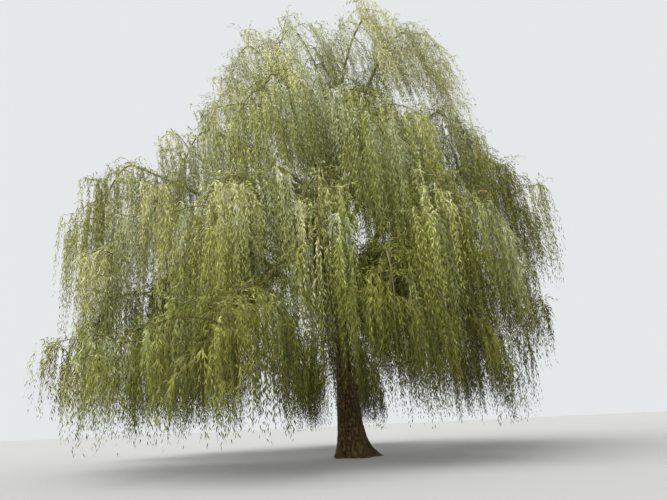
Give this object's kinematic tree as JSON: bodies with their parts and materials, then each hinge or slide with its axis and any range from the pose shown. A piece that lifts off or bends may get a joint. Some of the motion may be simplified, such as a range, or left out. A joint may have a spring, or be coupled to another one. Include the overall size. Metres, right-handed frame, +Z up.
{
  "type": "weeping willow tree",
  "caption": "Mature weeping willow: a thick flared trunk forks into arching boughs whose leafy shoots hang in long curtains around the open space under the crown.",
  "frame": {"origin": "middle of the flat cut under the trunk, at ground level", "axes": "+Z up; +X to the right and +Y away as the picture shows the tree"},
  "size_m": [21.331, 23.0943, 19.439],
  "materials": {
    "bark": "rough furrowed bark",
    "crest_foliage": "narrow willow leaves, pale where the sky shines through",
    "upper_foliage": "narrow willow leaves, light olive green",
    "shoulder_foliage": "narrow willow leaves, olive green",
    "skirt_foliage": "narrow willow leaves, deeper olive green in the shade of the crown"
  },
  "bodies": {
    "root": {"trunk": "bark", "bough_crest_1": "bark", "bough_crest_2": "bark", "bough_crest_3": "bark", "bough_crest_4": "bark", "bough_crest_5": "bark", "bough_shoulder_1": "bark", "bough_shoulder_2": "bark", "bough_shoulder_3": "bark", "bough_shoulder_4": "bark", "bough_shoulder_5": "bark", "bough_shoulder_6": "bark", "bough_shoulder_7": "bark", "bough_shoulder_8": "bark", "bough_shoulder_9": "bark", "bough_skirt_1": "bark", "bough_skirt_2": "bark", "bough_skirt_3": "bark", "bough_skirt_4": "bark", "bough_skirt_5": "bark", "bough_skirt_6": "bark", "bough_skirt_7": "bark", "bough_skirt_8": "bark", "bough_skirt_9": "bark", "bough_upper_1": "bark", "bough_upper_2": "bark", "bough_upper_3": "bark", "bough_upper_4": "bark", "bough_upper_5": "bark", "bough_upper_6": "bark", "foliage_crest_1": "crest_foliage", "foliage_crest_2": "crest_foliage", "foliage_crest_3": "crest_foliage", "foliage_crest_4": "crest_foliage", "foliage_crest_5": "crest_foliage", "foliage_shoulder_1": "shoulder_foliage", "foliage_shoulder_2": "shoulder_foliage", "foliage_shoulder_3": "shoulder_foliage", "foliage_shoulder_4": "shoulder_foliage", "foliage_shoulder_5": "shoulder_foliage", "foliage_shoulder_6": "shoulder_foliage", "foliage_shoulder_7": "shoulder_foliage", "foliage_shoulder_8": "shoulder_foliage", "foliage_shoulder_9": "shoulder_foliage", "foliage_skirt_1": "skirt_foliage", "foliage_skirt_2": "skirt_foliage", "foliage_skirt_3": "skirt_foliage", "foliage_skirt_4": "skirt_foliage", "foliage_skirt_5": "skirt_foliage", "foliage_skirt_6": "skirt_foliage", "foliage_skirt_7": "skirt_foliage", "foliage_skirt_8": "skirt_foliage", "foliage_skirt_9": "skirt_foliage", "foliage_upper_1": "upper_foliage", "foliage_upper_2": "upper_foliage", "foliage_upper_3": "upper_foliage", "foliage_upper_4": "upper_foliage", "foliage_upper_5": "upper_foliage", "foliage_upper_6": "upper_foliage"}
  },
  "joints": []
}
